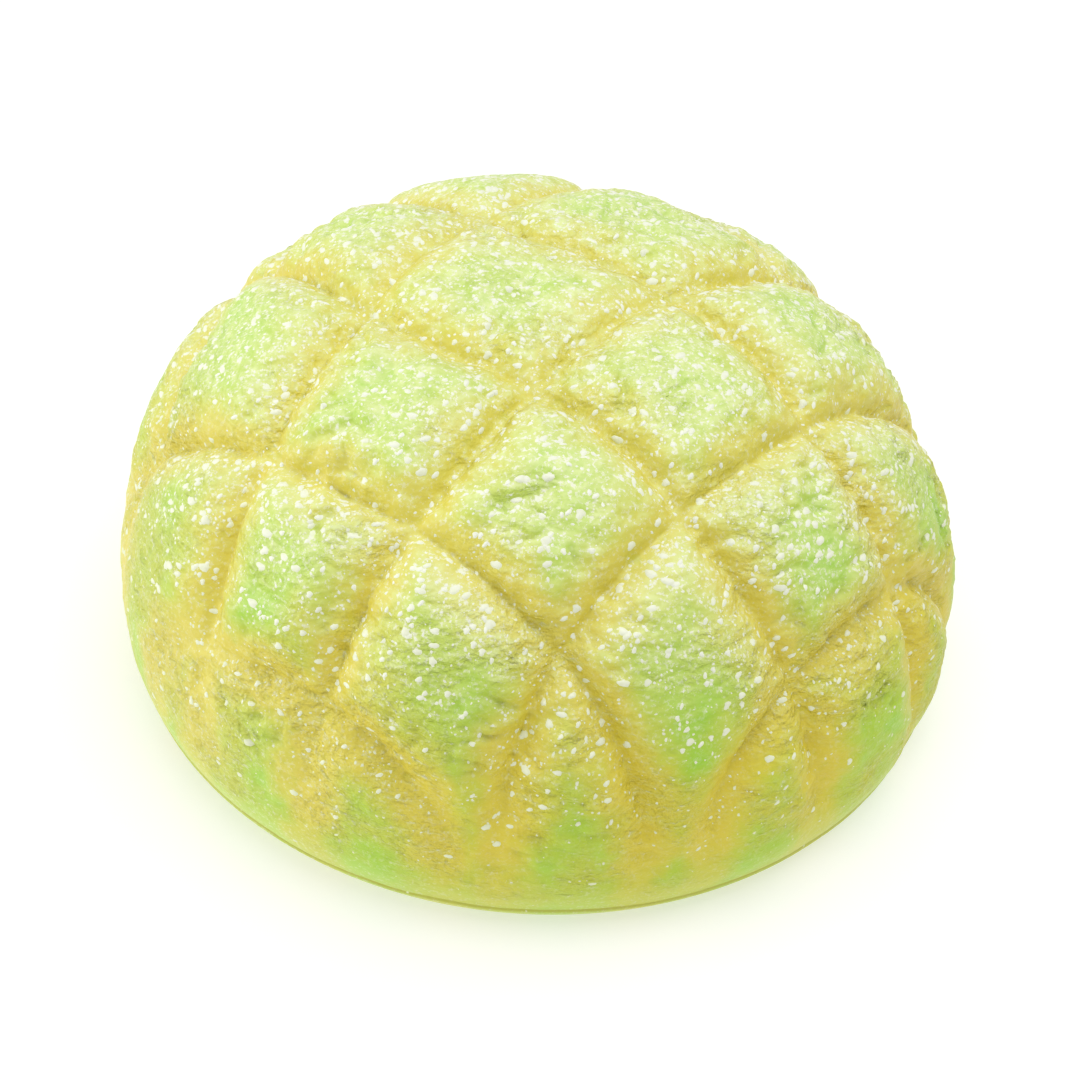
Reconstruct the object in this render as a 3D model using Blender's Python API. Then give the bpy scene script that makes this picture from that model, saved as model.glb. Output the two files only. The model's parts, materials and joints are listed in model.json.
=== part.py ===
"""A melon pan bun, as a soft moulded foam toy: one domed body scored with a diamond lattice.

Run it with blender --background --python part.py, or from Blender's text editor.
Metres, +Z up. The origin is the middle of the flat underside, and the front faces -Y.
"""

import math
from typing import NamedTuple

import bmesh
import bpy
import numpy as np
from mathutils import Vector
from mathutils.kdtree import KDTree

MM = 0.001

# The dome, which the tops of the tiles touch.
RADIUS = 52.0 * MM  # at its widest
HEIGHT = 52.0 * MM
WIDEST_AT = 12.5 * MM  # how high the widest ring lies
EDGE_INSET = 6.0 * MM  # how far the wall turns in below that ring, down to the flat underside
SHOULDER_POWER = 3.2  # 2 would be an ellipse, and more makes a fuller shoulder
CROWN_POWER = 1.8
EDGE_POWER = 2.5
LEAN = -1.8 * MM  # how far the top sits from over the middle, along X
PROFILE_STEPS = 400

# The pressed grooves.
GROOVE_DEPTH = 2.8 * MM
GROOVE_REACH = 6.5 * MM  # from a groove's bottom to where the tile is level again
GROOVE_POWER = 1.8  # 1 would be a straight-sided V, and more leaves a rounder tile
PLAIN_BELOW = 5.0 * MM  # the wall is plain under this height
FULL_ABOVE = 29.0 * MM  # a groove has its whole depth over this height
FADE_TILT = 0.15  # how much lower both heights lie for each metre towards +X
CALM_SPOT = Vector((-2.0, 10.0)) * MM  # on the crown, where the grooves are shallowest
CALM_WITHIN = 10.0 * MM  # from that spot
CALM_BEYOND = 26.0 * MM  # from there on they have their whole depth
CALM_DEPTH = 0.55  # the share of their depth that is left at the spot
PATH_STEP = 0.4 * MM

# The mesh: a fine square grid over the crown and rows of faces down the wall, then thinned out.
CROWN_CELLS = 120  # along each side of the grid
CROWN_SHARE = 0.5  # how much of the profile's length the grid takes
WALL_ROWS = 60
TRIANGLES = 9600  # left once the mesh is thinned out
LEVEL_BELOW = 0.1 * MM  # corners lower than this belong to the resting face

FOAM_GREEN = (0.54, 0.80, 0.14, 1.0)
FOAM_ROUGHNESS = 0.6


class Weave(NamedTuple):
    """The wave that the grooves of one family share, in metres along their run."""

    length: float
    start: float


class Groove(NamedTuple):
    """One pressed line as seen from above. Lengths are in metres."""

    offset: float  # from the bun's middle, square to the run
    turn: float  # of the run from +X, in degrees
    bow: float  # how much further out its ends lie than its middle
    sway: float  # how far it weaves to each side


# One family runs from the far left to the near right, the other from the near left to the far right.
FALLING_WEAVE = Weave(52.0 * MM, -13.0 * MM)
FALLING = [
    Groove(46.0 * MM, -33.0, -12.0 * MM, 0.0),
    Groove(35.5 * MM, -32.0, -0.5 * MM, 1.0 * MM),
    Groove(11.2 * MM, -35.5, -3.0 * MM, -1.2 * MM),
    Groove(-11.0 * MM, -38.0, 3.0 * MM, -1.4 * MM),
    Groove(-33.5 * MM, -34.5, 3.5 * MM, -0.3 * MM),
    Groove(-45.0 * MM, -34.0, 12.5 * MM, 0.0),
]
RISING_WEAVE = Weave(67.0 * MM, 4.0 * MM)
RISING = [
    Groove(46.5 * MM, 57.0, -12.0 * MM, 0.0),
    Groove(38.0 * MM, 59.0, -5.5 * MM, 0.5 * MM),
    Groove(15.5 * MM, 56.0, -5.5 * MM, 0.5 * MM),
    Groove(-9.7 * MM, 50.2, -2.0 * MM, 1.2 * MM),
    Groove(-31.5 * MM, 49.8, 1.0 * MM, 0.0),
    Groove(-44.0 * MM, 52.0, 12.5 * MM, 0.5 * MM),
]


def clear_scene():
    for obj in list(bpy.data.objects):
        bpy.data.objects.remove(obj, do_unlink=True)


class Profile:
    """The dome's side, from its top down to the edge of the flat underside."""

    def __init__(self):
        sweep = np.linspace(math.pi / 2, 0.0, PROFILE_STEPS)
        across = np.cos(sweep).clip(0.0)
        up = np.sin(sweep)
        upper_radius = RADIUS * across ** (2 / SHOULDER_POWER)
        upper_height = WIDEST_AT + (HEIGHT - WIDEST_AT) * up ** (2 / CROWN_POWER)
        lower_radius = RADIUS - EDGE_INSET * (1 - up ** (2 / EDGE_POWER))
        lower_height = WIDEST_AT * (1 - across ** (2 / EDGE_POWER))
        self.radius = np.concatenate([upper_radius, lower_radius[1:]])
        self.height = np.concatenate([upper_height, lower_height[1:]])
        self.radius[0] = 0.0
        self.height[-1] = 0.0
        steps = np.hypot(np.diff(self.radius), np.diff(self.height))
        along = np.concatenate([[0.0], np.cumsum(steps)])
        self.share = along / along[-1]
        self.lean_out = -np.gradient(self.height, along)
        self.lean_up = np.gradient(self.radius, along)

    def height_over(self, radius):
        """How high the crown is at this distance from the middle."""
        return float(np.interp(radius, self.radius[:PROFILE_STEPS], self.height[:PROFILE_STEPS]))

    def at(self, share, azimuth):
        """The point this far down the profile, and the way that the dome faces there."""
        radius = np.interp(share, self.share, self.radius)
        height = np.interp(share, self.share, self.height)
        outward = np.interp(share, self.share, self.lean_out)
        upward = np.interp(share, self.share, self.lean_up)
        way = Vector((math.cos(azimuth), math.sin(azimuth), 0.0))
        point = way * radius + Vector((0.0, 0.0, height))
        facing = way * outward + Vector((0.0, 0.0, upward))
        return point, facing.normalized()


def groove_path(profile, groove, weave):
    """Points close together along the bottom of a groove, over the crown and down the wall at both ends."""
    turn = math.radians(groove.turn)
    run = Vector((math.cos(turn), math.sin(turn), 0.0))
    square = Vector((-math.sin(turn), math.cos(turn), 0.0))
    over = []
    for along in np.arange(-RADIUS, RADIUS, PATH_STEP):
        bow = groove.bow * ((along / RADIUS) ** 2 - 1 / 3)
        sway = groove.sway * math.cos(2 * math.pi * (along - weave.start) / weave.length)
        flat = run * along + square * (groove.offset + bow + sway)
        if flat.length < RADIUS:
            over.append(flat + Vector((0.0, 0.0, profile.height_over(flat.length))))
    down = Vector((0.0, 0.0, WIDEST_AT))
    corners = [over[0] - down, *over, over[-1] - down]
    path = []
    for start, end in zip(corners, corners[1:]):
        steps = math.ceil((end - start).length / PATH_STEP)
        path += [start.lerp(end, step / steps) for step in range(steps)]
    return path


def family_tree(profile, grooves, weave):
    """All the groove bottoms of one family, to be asked for the nearest."""
    points = [point for groove in grooves for point in groove_path(profile, groove, weave)]
    tree = KDTree(len(points))
    for index, point in enumerate(points):
        tree.insert(point, index)
    tree.balance()
    return tree


def trough(tree, point):
    """1 at the bottom of the family's nearest groove, and 0 out on the level tiles."""
    distance = tree.find(point)[2]
    return max(0.0, 1 - distance / GROOVE_REACH) ** GROOVE_POWER


def smooth_step(low, high, value):
    share = min(max((value - low) / (high - low), 0.0), 1.0)
    return share * share * (3 - 2 * share)


def bun_point(profile, families, share, azimuth):
    """A point of the scored surface."""
    point, facing = profile.at(share, azimuth)
    level = math.prod(1 - trough(tree, point) for tree in families)
    depth = GROOVE_DEPTH * (1 - level)
    depth *= smooth_step(PLAIN_BELOW, FULL_ABOVE, point.z + FADE_TILT * point.x)
    from_spot = (point.xy - CALM_SPOT).length
    depth *= CALM_DEPTH + (1 - CALM_DEPTH) * smooth_step(CALM_WITHIN, CALM_BEYOND, from_spot)
    lean = LEAN * max(0.0, point.z - WIDEST_AT) / (HEIGHT - WIDEST_AT)
    return point - facing * depth + Vector((lean, 0.0, 0.0))


def square_azimuth(x, y):
    """The direction of a point of the square grid once the square is drawn out into a disc."""
    if abs(x) >= abs(y):
        slant = y / x if x else 0.0
        return math.pi / 4 * slant + (math.pi if x < 0 else 0.0)
    return math.pi / 2 * math.copysign(1.0, y) - math.pi / 4 * x / y


def foam_material():
    material = bpy.data.materials.new("soft green foam")
    material.use_nodes = True
    shader = material.node_tree.nodes["Principled BSDF"]
    shader.inputs["Base Color"].default_value = FOAM_GREEN
    shader.inputs["Roughness"].default_value = FOAM_ROUGHNESS
    shader.inputs["Metallic"].default_value = 0.0
    return material


def thin_out(bun):
    """Leaves TRIANGLES of the fine mesh, which fall along the grooves, and levels the resting face."""
    bpy.context.view_layer.objects.active = bun
    reduce = bun.modifiers.new("thin out", "DECIMATE")
    triangles = sum(len(face.vertices) - 2 for face in bun.data.polygons)
    reduce.ratio = TRIANGLES / triangles
    reduce.use_collapse_triangulate = True
    bpy.ops.object.modifier_apply(modifier=reduce.name)
    for vert in bun.data.vertices:
        if vert.co.z < LEVEL_BELOW:
            vert.co.z = 0.0


def build_bun():
    """Lays a grid over the crown, draws its rim down the wall row by row, and closes the underside."""
    profile = Profile()
    families = [
        family_tree(profile, FALLING, FALLING_WEAVE),
        family_tree(profile, RISING, RISING_WEAVE),
    ]
    mesh = bmesh.new()
    bmesh.ops.create_grid(mesh, x_segments=CROWN_CELLS, y_segments=CROWN_CELLS, size=1.0)
    places = {}
    for vert in mesh.verts:
        x, y = vert.co.x, vert.co.y
        places[vert] = (CROWN_SHARE * max(abs(x), abs(y)), square_azimuth(x, y))
    rim = [edge for edge in mesh.edges if edge.is_boundary]
    for row in range(1, WALL_ROWS + 1):
        share = CROWN_SHARE + (1 - CROWN_SHARE) * row / WALL_ROWS
        above = {vert for edge in rim for vert in edge.verts}
        azimuths = {tuple(vert.co): places[vert][1] for vert in above}
        drawn = bmesh.ops.extrude_edge_only(mesh, edges=rim)["geom"]
        for vert in drawn:
            if isinstance(vert, bmesh.types.BMVert):
                places[vert] = (share, azimuths[tuple(vert.co)])
        rim = [edge for edge in drawn if isinstance(edge, bmesh.types.BMEdge) and edge.is_boundary]
    bmesh.ops.contextual_create(mesh, geom=rim)
    for vert, (share, azimuth) in places.items():
        vert.co = bun_point(profile, families, share, azimuth)
    bmesh.ops.recalc_face_normals(mesh, faces=mesh.faces[:])
    data = bpy.data.meshes.new("bun")
    mesh.to_mesh(data)
    mesh.free()
    data.shade_smooth()
    data.materials.append(foam_material())
    bun = bpy.data.objects.new("bun", data)
    bpy.context.scene.collection.objects.link(bun)
    thin_out(bun)


clear_scene()
build_bun()
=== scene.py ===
"""The looks of a melon pan bun made as a squeezable foam toy: its skin, its sprayed paint and its setting.

Metres, +Z up. The origin is the middle of the flat underside, and the front faces -Y.
"""

import math
import random

import bpy
import numpy as np
from mathutils import Matrix, Vector
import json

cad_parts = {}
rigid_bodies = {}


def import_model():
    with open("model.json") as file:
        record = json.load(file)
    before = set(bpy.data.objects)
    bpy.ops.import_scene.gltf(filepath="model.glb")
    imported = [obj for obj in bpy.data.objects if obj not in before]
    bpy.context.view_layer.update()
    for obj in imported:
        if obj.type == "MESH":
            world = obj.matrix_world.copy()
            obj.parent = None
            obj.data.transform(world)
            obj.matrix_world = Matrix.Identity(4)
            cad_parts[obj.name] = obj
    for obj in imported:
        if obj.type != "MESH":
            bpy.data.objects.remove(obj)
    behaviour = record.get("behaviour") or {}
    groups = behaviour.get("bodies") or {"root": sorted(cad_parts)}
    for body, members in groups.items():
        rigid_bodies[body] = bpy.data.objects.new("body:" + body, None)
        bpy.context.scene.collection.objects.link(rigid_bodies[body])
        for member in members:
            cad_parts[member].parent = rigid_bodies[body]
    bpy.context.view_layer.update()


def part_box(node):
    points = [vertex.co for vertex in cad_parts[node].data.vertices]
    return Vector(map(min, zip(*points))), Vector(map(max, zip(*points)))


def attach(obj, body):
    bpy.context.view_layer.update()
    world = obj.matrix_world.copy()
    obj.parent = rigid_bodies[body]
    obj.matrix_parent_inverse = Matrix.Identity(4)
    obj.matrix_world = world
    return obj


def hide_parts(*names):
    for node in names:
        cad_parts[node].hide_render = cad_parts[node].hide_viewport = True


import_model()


# ---------------------------------------------------------------------------------------------
# The bun itself: one block of slow-rising polyurethane foam, cast in a two-part mould. The mould
# gives it the scored diamond lattice and the wrinkled crust, and leaves a parting line just over
# the flat underside. It is built as the smooth dome first, which the grooves are then pressed into.

MM = 0.001
bun_low, bun_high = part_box("bun")
PROUD_PAINT = 0.12 * MM  # room left inside the box for the paint on top
RADIUS = min(bun_high[0] - bun_low[0], bun_high[1] - bun_low[1]) / 2 - PROUD_PAINT
HEIGHT = bun_high[2] - bun_low[2] - PROUD_PAINT
WIDEST_AT = 12.5 * MM  # how high the widest ring lies
EDGE_INSET = 6.0 * MM  # how far the wall turns in below that ring, down to the flat underside
SHOULDER_POWER = 3.2  # 2 would be an ellipse, and more makes a fuller shoulder
CROWN_POWER = 1.8
EDGE_POWER = 2.5
LEAN = -1.8 * MM  # how far the top sits from over the middle, along X
PROFILE_STEPS = 800

sweep = np.linspace(math.pi / 2, 0.0, PROFILE_STEPS)
across, up = np.cos(sweep).clip(0.0), np.sin(sweep)
crown_radius = RADIUS * across ** (2 / SHOULDER_POWER)
crown_height = WIDEST_AT + (HEIGHT - WIDEST_AT) * up ** (2 / CROWN_POWER)
wall_radius = RADIUS - EDGE_INSET * (1 - up ** (2 / EDGE_POWER))
wall_height = WIDEST_AT * (1 - across ** (2 / EDGE_POWER))
profile_radius = np.concatenate([crown_radius, wall_radius[1:]])
profile_height = np.concatenate([crown_height, wall_height[1:]])
profile_radius[0] = profile_height[-1] = 0.0
profile_length = np.hypot(np.diff(profile_radius), np.diff(profile_height)).cumsum()
profile_length = np.concatenate([[0.0], profile_length])

# The dome's skin is a fine square grid over the crown, whose edge is drawn down the wall in rows.
# The rows lie closer about the parting line, and a few wider ones close the underside.
CROWN_CELLS = 172  # along each side of the grid
CROWN_LENGTH = 0.5 * profile_length[-1]  # how far down the side the grid reaches
ROW = 0.58 * MM
FINE_ROW = 0.16 * MM
FINE_FROM, FINE_TO = 4.4 * MM, 1.6 * MM  # the heights between which the fine rows lie
UNDERSIDE_RINGS = (0.985, 0.94, 0.8, 0.55, 0.3, 0.12)  # as shares of the edge's radius
DISH = 0.6 * MM  # how far the middle of the underside is hollow


def dome_points(length, azimuth):
    """Points of the smooth dome at these lengths down its side, in these directions."""
    radius = np.interp(length, profile_length, profile_radius)
    height = np.interp(length, profile_length, profile_height) + 0 * azimuth
    return np.stack([radius * np.cos(azimuth), radius * np.sin(azimuth), height], -1)


def crown_grid():
    """The square grid's points once it is drawn out into a disc, and the order of those on its edge."""
    side = np.linspace(-1.0, 1.0, CROWN_CELLS + 1)
    x, y = (axis.ravel() for axis in np.meshgrid(side, side))
    outward = np.maximum(abs(x), abs(y))
    with np.errstate(divide="ignore", invalid="ignore"):
        sideways = np.where(abs(x) >= abs(y), y / x, -x / y) * math.pi / 4
    quarter = np.where(x < 0, math.pi, 0.0)
    azimuth = np.where(abs(x) >= abs(y), quarter + sideways, np.sign(y) * math.pi / 2 + sideways)
    azimuth = np.nan_to_num(azimuth)
    edge = np.flatnonzero(outward > 1 - 1e-9)
    turned = np.mod(azimuth[edge], 2 * math.pi)
    return outward * CROWN_LENGTH, azimuth, edge[np.argsort(turned)]


def wall_lengths():
    """How far down the side each row under the grid lies."""
    fine_start, fine_end = np.interp((-FINE_FROM, -FINE_TO), -profile_height, profile_length)
    spans = (
        (CROWN_LENGTH, fine_start, ROW),
        (fine_start, fine_end, FINE_ROW),
        (fine_end, profile_length[-1], ROW),
    )
    rows = [np.linspace(a, b, round((b - a) / step) + 1)[1:] for a, b, step in spans]
    return np.concatenate(rows)


def smooth_dome():
    """The whole dome as one closed mesh, with its underside a little hollow."""
    length, azimuth, edge = crown_grid()
    blocks = [dome_points(length, azimuth)]
    count = len(length)
    corner = np.arange(CROWN_CELLS)[:, None] * (CROWN_CELLS + 1) + np.arange(CROWN_CELLS)
    corner = corner.ravel()
    faces = [np.stack([corner, corner + 1, corner + CROWN_CELLS + 2, corner + CROWN_CELLS + 1], -1)]
    above = edge
    around = azimuth[edge]
    rings = [dome_points(row, around) for row in wall_lengths()]
    rim = rings[-1]
    for share in UNDERSIDE_RINGS:
        hollow = DISH * (1 - share**2) * (1 - share**8)
        rings.append(rim * (share, share, 0.0) + (0.0, 0.0, hollow))
    for ring in rings:
        below = np.arange(count, count + len(ring))
        faces.append(np.stack([above, below, np.roll(below, -1), np.roll(above, -1)], -1))
        blocks.append(ring)
        count += len(ring)
        above = below
    middle = np.full(len(above), count)
    blocks.append(np.array([[0.0, 0.0, DISH]]))
    fan = np.stack([above, middle, np.roll(above, -1)], -1)
    mesh = bpy.data.meshes.new("bun_skin")
    corners = [face for block in faces for face in block.tolist()] + fan.tolist()
    mesh.from_pydata(np.concatenate(blocks).tolist(), [], corners)
    mesh.shade_smooth()
    return mesh


# The grooves are pressed along two crossing families of gently bent lines. Each line is given by how
# far it passes from the middle, the way it runs, how its ends bow out and how far it weaves. The
# lines of a family share one wave, given by its length and where it starts. All of it is in
# millimetres, and in degrees from +X.
PATH_STEP = 0.4 * MM
FALLING_WEAVE = (52.0, -13.0)
FALLING = (
    (46.0, -33.0, -12.0, 0.0),
    (35.5, -32.0, -0.5, 1.0),
    (11.2, -35.5, -3.0, -1.2),
    (-11.0, -38.0, 3.0, -1.4),
    (-33.5, -34.5, 3.5, -0.3),
    (-45.0, -34.0, 12.5, 0.0),
)
RISING_WEAVE = (67.0, 4.0)
RISING = (
    (46.5, 57.0, -12.0, 0.0),
    (38.0, 59.0, -5.5, 0.5),
    (15.5, 56.0, -5.5, 0.5),
    (-9.7, 50.2, -2.0, 1.2),
    (-31.5, 49.8, 1.0, 0.0),
    (-44.0, 52.0, 12.5, 0.5),
)


def groove_wire(name, grooves, weave):
    """A wire along the bottom of each groove: over the crown, then straight down the wall at both ends."""
    points, edges = [], []
    wave, start = weave
    for offset, turn, bow, sway in grooves:
        along = np.arange(-RADIUS, RADIUS, PATH_STEP)
        phase = 2 * math.pi * (along / MM - start) / wave
        aside = (offset + bow * ((along / RADIUS) ** 2 - 1 / 3) + sway * np.cos(phase)) * MM
        turn = math.radians(turn)
        x = along * math.cos(turn) - aside * math.sin(turn)
        y = along * math.sin(turn) + aside * math.cos(turn)
        radius = np.hypot(x, y)
        z = np.interp(radius, profile_radius[:PROFILE_STEPS], profile_height[:PROFILE_STEPS])
        over = np.stack([x, y, z], -1)[radius < RADIUS]
        foot = (0.0, 0.0, WIDEST_AT)
        path = [over[0] - foot, *over, over[-1] - foot]
        first = len(points)
        points += [tuple(point) for point in path]
        edges += [(first + i, first + i + 1) for i in range(len(path) - 1)]
    mesh = bpy.data.meshes.new(name)
    mesh.from_pydata(points, edges, [])
    wire = bpy.data.objects.new(name, mesh)
    bpy.context.scene.collection.objects.link(wire)
    return wire


def output_of(node):
    """The output that a node uses in the way it is set."""
    return next(output for output in node.outputs if output.enabled)


def add_node(tree, kind, inputs=(), **settings):
    """Adds a node, sets it, and gives its inputs their values or links, by name or in order."""
    node = tree.nodes.new(kind)
    for name, value in settings.items():
        setattr(node, name, value)
    sockets = [socket for socket in node.inputs if socket.enabled]
    if isinstance(inputs, dict):
        pairs = [(next(s for s in sockets if s.name == name), value) for name, value in inputs.items()]
    else:
        pairs = zip(sockets, inputs)
    for socket, value in pairs:
        if isinstance(value, bpy.types.Node):
            value = output_of(value)
        if isinstance(value, bpy.types.NodeSocket):
            tree.links.new(value, socket)
        elif value is not None:
            socket.default_value = value
    return node


def new_shape_tree(name, sizes):
    """An empty Geometry Nodes tree with a geometry in and out, and a named input for each size."""
    tree = bpy.data.node_groups.new(name, "GeometryNodeTree")
    tree.interface.new_socket("Geometry", in_out="INPUT", socket_type="NodeSocketGeometry")
    tree.interface.new_socket("Geometry", in_out="OUTPUT", socket_type="NodeSocketGeometry")
    for label, value in sizes.items():
        kind = {
            float: "NodeSocketFloat",
            int: "NodeSocketInt",
            Vector: "NodeSocketVector",
            bpy.types.Object: "NodeSocketObject",
            bpy.types.Collection: "NodeSocketCollection",
            bpy.types.Material: "NodeSocketMaterial",
        }[type(value)]
        tree.interface.new_socket(label, in_out="INPUT", socket_type=kind)
    return tree


def made_plain(piece, tree, sizes):
    """Runs the tree on the piece with these sizes and keeps the result as its plain mesh."""
    modifier = piece.modifiers.new(tree.name, "NODES")
    modifier.node_group = tree
    for item in tree.interface.items_tree:
        if item.in_out == "INPUT" and item.name in sizes:
            modifier[item.identifier] = sizes[item.name]
    graph = bpy.context.evaluated_depsgraph_get()
    shaped = piece.evaluated_get(graph)
    mesh = bpy.data.meshes.new_from_object(shaped, preserve_all_data_layers=True, depsgraph=graph)
    piece.modifiers.remove(modifier)
    piece.data = mesh
    mesh.name = piece.name


def linear(colour, alpha=1.0):
    """An sRGB hex colour as Blender's linear values."""
    channels = [int(colour[i : i + 2], 16) / 255 for i in (0, 2, 4)]
    return (*[c / 12.92 if c <= 0.04045 else ((c + 0.055) / 1.055) ** 2.4 for c in channels], alpha)


# Slow-rising PU foam with a closed, satin skin, cast in pastel green. An airbrush has laid soft yellow
# along the grooves and a white mist from above. To the eye it is matt, softly mottled and a bit milky:
# where the mist is thin it turns the colours under it a pale lemon, and its thicker grains stay white.
# The same pale lemon also paints light into the colour: a highlight on what faces up, a sheen on the left
# wall and bounce light at the foot. The bottoms of the wrinkles get painted shade.
FOAM_GREEN = "97D31C"
FOAM_PALE = "B9DC50"
CREASE_SHADE_GREEN = "96B82E"
SPRAY_YELLOW = "E1CF3F"
MIST_AND_LIGHT_LEMON = "E8F3AC"
POWDER_WHITE = "F4F5DC"
SEAM_OLIVE = "BDBE48"

FOAM_CLOUDS = 15 * MM  # how far apart the paler patches of the foam are
YELLOW_FULL = 1 * MM  # how near a groove's bottom the yellow is at its fullest
YELLOW_THIN = 9 * MM  # and from where on only overspray is left
SPRAY_EDGE = 7 * MM  # the length of the waves in the yellow's ragged edge
EDGE_SWAY = 2.4 * MM  # how far they go to each side
OVERSPRAY_CLOUDS = 10 * MM
WRINKLES = 2.3 * MM  # from one wrinkle of the crust to the next, with finer ones on them
WRINKLE_STRETCH = 1.8  # how many times longer than high they are
WRINKLE_LIFT = 0.45 * MM  # how far up their pattern is read again, to find which side faces up
WRINKLE_HEIGHT = 1.5 * MM
MIST_GRAINS = 0.5 * MM  # drawn a few times coarser than the real mist, so that it shows
SKIN_GRAIN = 0.4 * MM

# Each of these happens between two heights. Above the foot the painted bounce light from the table
# ends, the bands of yellow widen and strengthen, and the wrinkles deepen. Towards the crown the
# wrinkles, the yellow and its overspray fade, and the mist from above thickens.
FOOT_BOUNCE_LIGHT = (2 * MM, 9 * MM)
YELLOW_WIDENS = (5 * MM, 22 * MM)
YELLOW_STRENGTHENS = (3 * MM, 14 * MM)
WRINKLES_DEEPEN = (3 * MM, 10 * MM)
WRINKLES_CALM = (26 * MM, 46 * MM)
YELLOW_THINS = (38 * MM, 52 * MM)
OVERSPRAY_THINS = (14 * MM, 40 * MM)
MIST_THICKENS = (18 * MM, 56 * MM)

# The most cover that the mist gives on the crown, and how much of the same lemon veil paints a
# highlight on the upper side of a wrinkle, bounce light at the foot and a sheen on the left wall.
# A loose powder of the mist lies everywhere.
CROWN_MIST = 0.66
WRINKLE_HIGHLIGHT = 0.28
FOOT_BOUNCE_VEIL = 0.14
LEFT_SHEEN = 0.16
LOOSE_POWDER = 0.06
LEFT_SHEEN_SPAN = (5 * MM, -45 * MM)  # from where to where along X the painted sheen thickens
LEFT_SHEEN_HEIGHTS = (18 * MM, 34 * MM)  # and the heights between which it ends
SHELTERED = 3.5 * MM  # how near a groove's bottom the mist is thinner


def foam_material():
    material = bpy.data.materials.new("cast_polyurethane_foam_airbrushed")
    material.use_nodes = True
    tree = material.node_tree
    shader = tree.nodes["Principled BSDF"]
    place = add_node(tree, "ShaderNodeTexCoord").outputs["Object"]
    height = add_node(tree, "ShaderNodeSeparateXYZ", (place,)).outputs["Z"]
    groove = add_node(tree, "ShaderNodeAttribute", attribute_name="groove_distance").outputs["Fac"]
    uplift = add_node(tree, "ShaderNodeAttribute", attribute_name="uplift").outputs["Fac"]
    seam = add_node(tree, "ShaderNodeAttribute", attribute_name="seam").outputs["Fac"]

    # the green of the foam, a little paler in clouds, and paler by the foot as painted bounce light
    clouds = add_node(tree, "ShaderNodeTexNoise", {"Vector": place, "Scale": 1 / FOAM_CLOUDS, "Detail": 3.0})
    cloudy = add_node(tree, "ShaderNodeMapRange", (clouds, 0.35, 0.65, 0.0, 0.6))
    foot = add_node(tree, "ShaderNodeMapRange", (height, *FOOT_BOUNCE_LIGHT, 0.9, 0.0))
    paler = add_node(tree, "ShaderNodeMath", (cloudy, foot), operation="ADD", use_clamp=True)
    foam = add_node(tree, "ShaderNodeMix", (paler, linear(FOAM_GREEN), linear(FOAM_PALE)), data_type="RGBA")

    # yellow: full at a groove's bottom, ragged where the spray thins out, and narrower low down.
    # Overspray lies in faint clouds over the rest, less of it high up
    ragged = add_node(
        tree,
        "ShaderNodeTexNoise",
        {"Vector": place, "Scale": 1 / SPRAY_EDGE, "Detail": 4.0, "Roughness": 0.5},
    )
    sway = add_node(tree, "ShaderNodeMapRange", (ragged, 0.25, 0.75, -EDGE_SWAY, EDGE_SWAY))
    reach = add_node(tree, "ShaderNodeMath", (groove, sway), operation="ADD")
    narrower = add_node(tree, "ShaderNodeMapRange", (height, *YELLOW_WIDENS, 1.6, 1.0))
    reach = add_node(tree, "ShaderNodeMath", (reach, narrower), operation="MULTIPLY")
    cloud = add_node(
        tree,
        "ShaderNodeTexNoise",
        {"Vector": place, "Scale": 1 / OVERSPRAY_CLOUDS, "Detail": 4.0, "Roughness": 0.5},
    )
    overspray = add_node(tree, "ShaderNodeMapRange", (cloud, 0.35, 0.65, 0.04, 0.5))
    thin_high = add_node(tree, "ShaderNodeMapRange", (height, *OVERSPRAY_THINS, 1.5, 0.65))
    overspray = add_node(tree, "ShaderNodeMath", (overspray, thin_high), operation="MULTIPLY")
    band = add_node(
        tree,
        "ShaderNodeMapRange",
        (reach, YELLOW_FULL, YELLOW_THIN, 1.0, overspray),
        interpolation_type="SMOOTHSTEP",
    )
    from_foot = add_node(
        tree,
        "ShaderNodeMapRange",
        (height, *YELLOW_STRENGTHENS, 0.6, 1.0),
        interpolation_type="SMOOTHSTEP",
    )
    to_crown = add_node(
        tree,
        "ShaderNodeMapRange",
        (height, *YELLOW_THINS, 1.0, 0.92),
        interpolation_type="SMOOTHSTEP",
    )
    strength = add_node(tree, "ShaderNodeMath", (from_foot, to_crown), operation="MULTIPLY")
    yellow = add_node(tree, "ShaderNodeMath", (band, strength), operation="MULTIPLY")
    coloured = add_node(tree, "ShaderNodeMix", (yellow, foam, linear(SPRAY_YELLOW)), data_type="RGBA")

    # the crust's finest wrinkles are drawn out level. The same pattern a little higher up tells
    # which side of a wrinkle faces up, where the mist settles and where a highlight is painted
    stretch, lift = (1.0, 1.0, WRINKLE_STRETCH), (0.0, 0.0, WRINKLE_LIFT)
    squeezed = add_node(tree, "ShaderNodeVectorMath", (place, stretch), operation="MULTIPLY")
    lifted = add_node(tree, "ShaderNodeVectorMath", (squeezed, lift), operation="ADD")
    wrinkle, wrinkle_above = (
        add_node(
            tree,
            "ShaderNodeTexNoise",
            {"Vector": spot, "Scale": 1 / WRINKLES, "Detail": 3.0, "Roughness": 0.5},
        )
        for spot in (squeezed, lifted)
    )
    facing_up = add_node(tree, "ShaderNodeMath", (wrinkle, wrinkle_above), operation="SUBTRACT")

    # the wrinkles are strongest in patches, calm by the foot and soft on the crown
    calm_foot = add_node(
        tree,
        "ShaderNodeMapRange",
        (height, *WRINKLES_DEEPEN, 0.2, 1.0),
        interpolation_type="SMOOTHSTEP",
    )
    calm_crown = add_node(tree, "ShaderNodeMapRange", (height, *WRINKLES_CALM, 0.9, 0.5))
    puckered = add_node(tree, "ShaderNodeMapRange", (cloud, 0.42, 0.6, 0.35, 1.4))
    wrinkled = add_node(tree, "ShaderNodeMath", (calm_foot, calm_crown), operation="MULTIPLY")
    wrinkled = add_node(tree, "ShaderNodeMath", (wrinkled, puckered), operation="MULTIPLY", use_clamp=True)
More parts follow.
